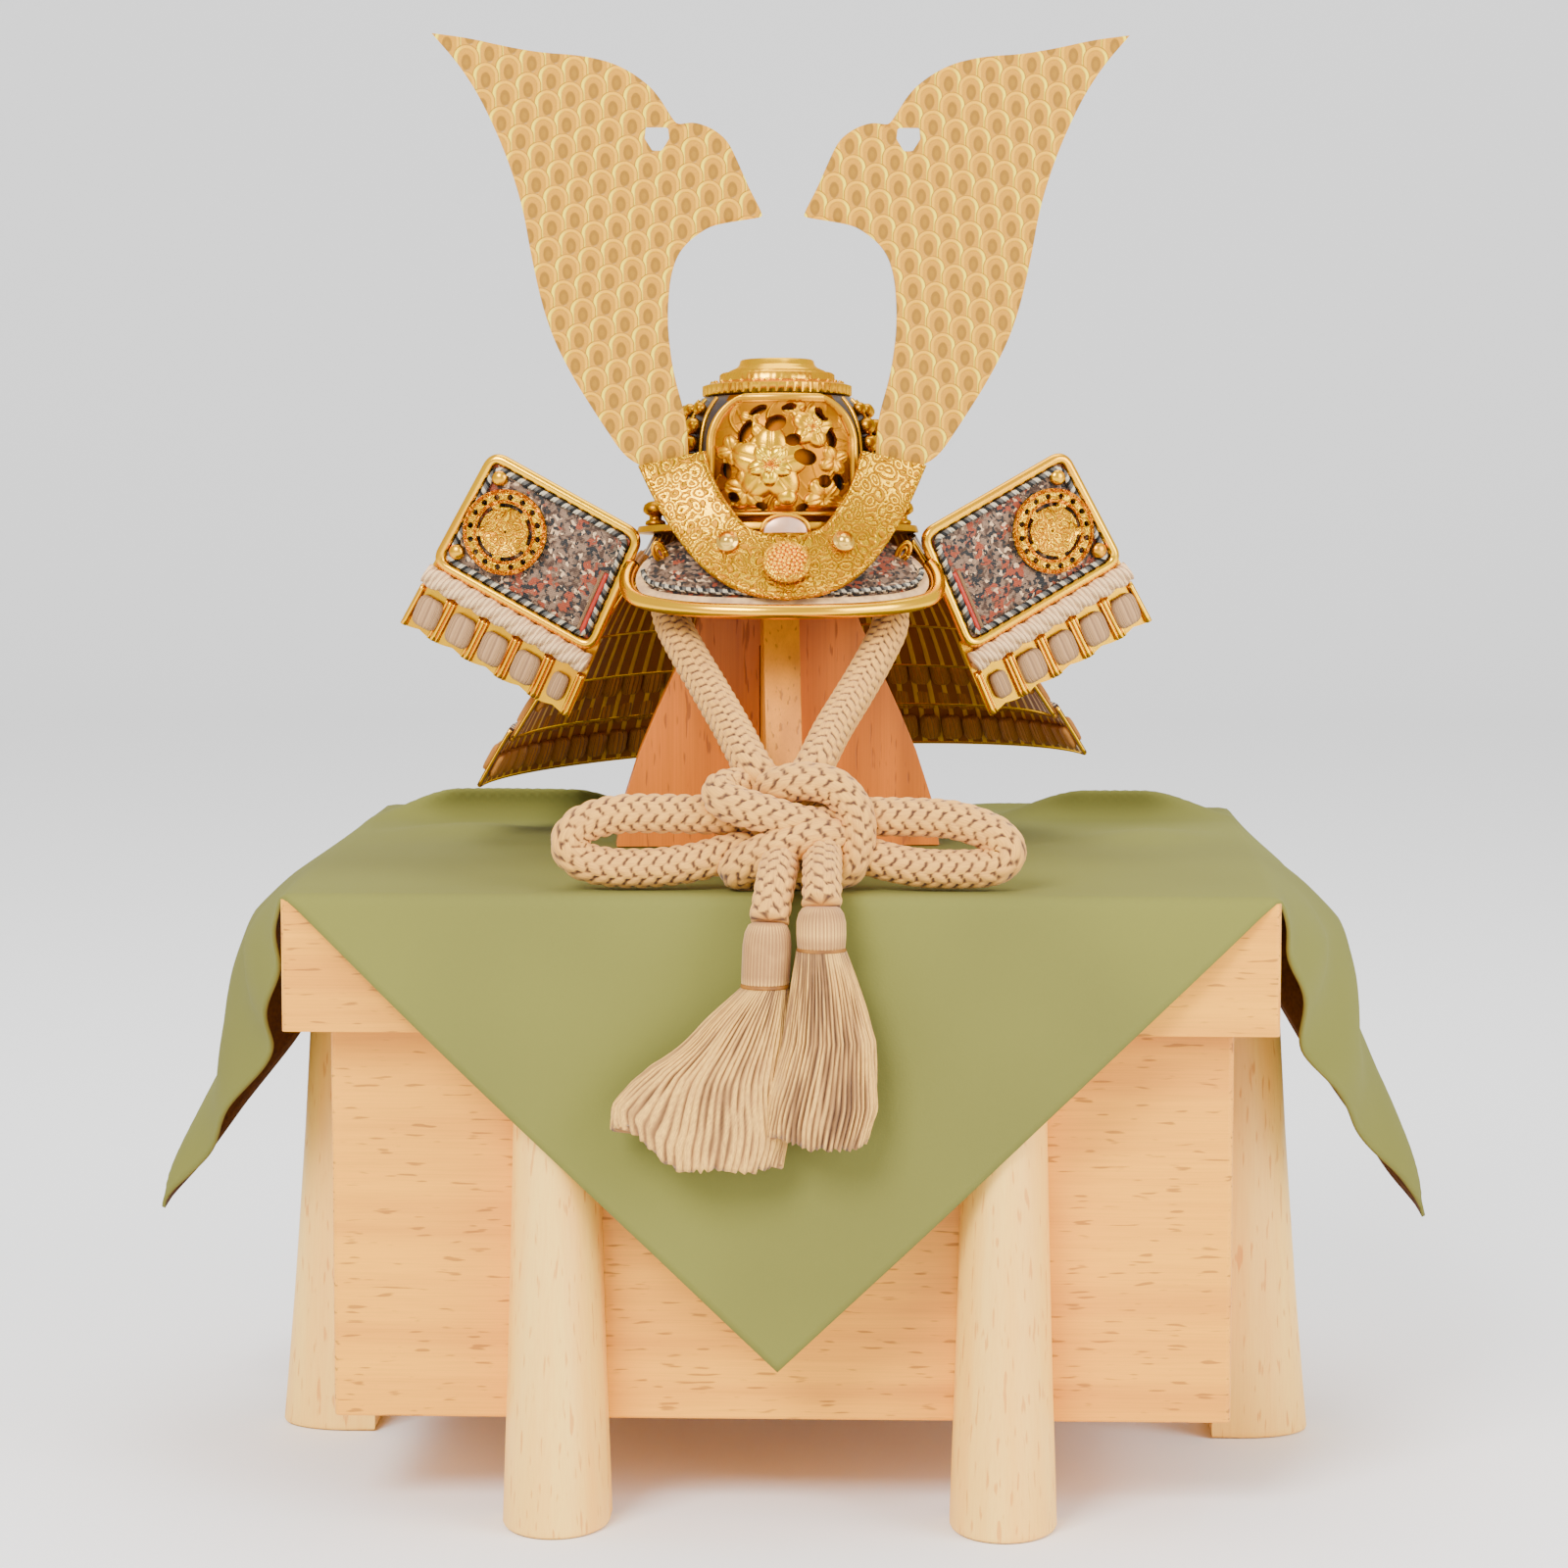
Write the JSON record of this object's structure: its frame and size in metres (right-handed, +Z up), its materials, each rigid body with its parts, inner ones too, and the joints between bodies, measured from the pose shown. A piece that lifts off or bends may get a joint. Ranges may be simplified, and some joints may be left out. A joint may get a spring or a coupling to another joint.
{
  "type": "display helmet with its board stand and storage chest",
  "caption": "Small gold display helmet with tall horns, swept wings and a lamed neck guard, on a crossed-board stand over a green cloth laid on a legged wooden chest.",
  "frame": {"origin": "on the floor under the middle of the chest", "axes": "+Z up, -Y to the front where the visor and the knot are, +X to the viewer's right"},
  "size_m": [0.3444, 0.2537, 0.3712],
  "materials": {
    "beech": "satin",
    "stand_wood": "satin",
    "cloth": "woven",
    "gold": "polished",
    "deep_gold": "polished",
    "pale_gold": "embossed",
    "brocade": "woven",
    "white_cord": "twisted",
    "cord": "plaited",
    "tuft": "matte"
  },
  "bodies": {
    "root": {"chest_body": "beech", "chest_lid": "beech", "cloth": "cloth", "stand_cross_board": "stand_wood", "stand_front_board": "stand_wood", "bowl": "gold", "bowl_flange": "deep_gold", "crown_finial": "gold", "bowl_front_panel": "gold", "flange_rivet_left": "deep_gold", "flange_rivet_right": "deep_gold", "visor": "brocade", "visor_rim": "gold", "horn_plate": "gold", "plate_rivet_left": "gold", "plate_rivet_right": "gold", "plate_boss": "gold", "horn_left": "pale_gold", "horn_right": "pale_gold", "chin_cord_knot": "cord", "chin_cord_strap": "cord", "chin_cord_loop_left": "cord", "chin_cord_loop_right": "cord", "chin_cord_tail_left": "cord", "chin_cord_tail_right": "cord", "tassel_left": "cord", "tassel_right": "cord", "chest_leg_front_left": "beech", "chest_leg_front_right": "beech", "chest_leg_right": "beech", "chest_leg_back_right": "beech", "chest_leg_back_left": "beech", "chest_leg_left": "beech", "wing_panel_left": "brocade", "wing_rim_left": "gold", "wing_crest_left": "gold", "wing_stud_upper_left": "gold", "wing_stud_lower_left": "gold", "wing_band_left": "white_cord", "wing_lame_left": "deep_gold", "wing_lacing_left": "tuft", "wing_panel_right": "brocade", "wing_rim_right": "gold", "wing_crest_right": "gold", "wing_stud_upper_right": "gold", "wing_stud_lower_right": "gold", "wing_band_right": "white_cord", "wing_lame_right": "deep_gold", "wing_lacing_right": "tuft", "neck_lame_1": "deep_gold", "neck_lame_2": "deep_gold", "neck_lame_3": "deep_gold", "neck_lame_4": "deep_gold", "neck_lame_5": "deep_gold"}
  },
  "joints": []
}
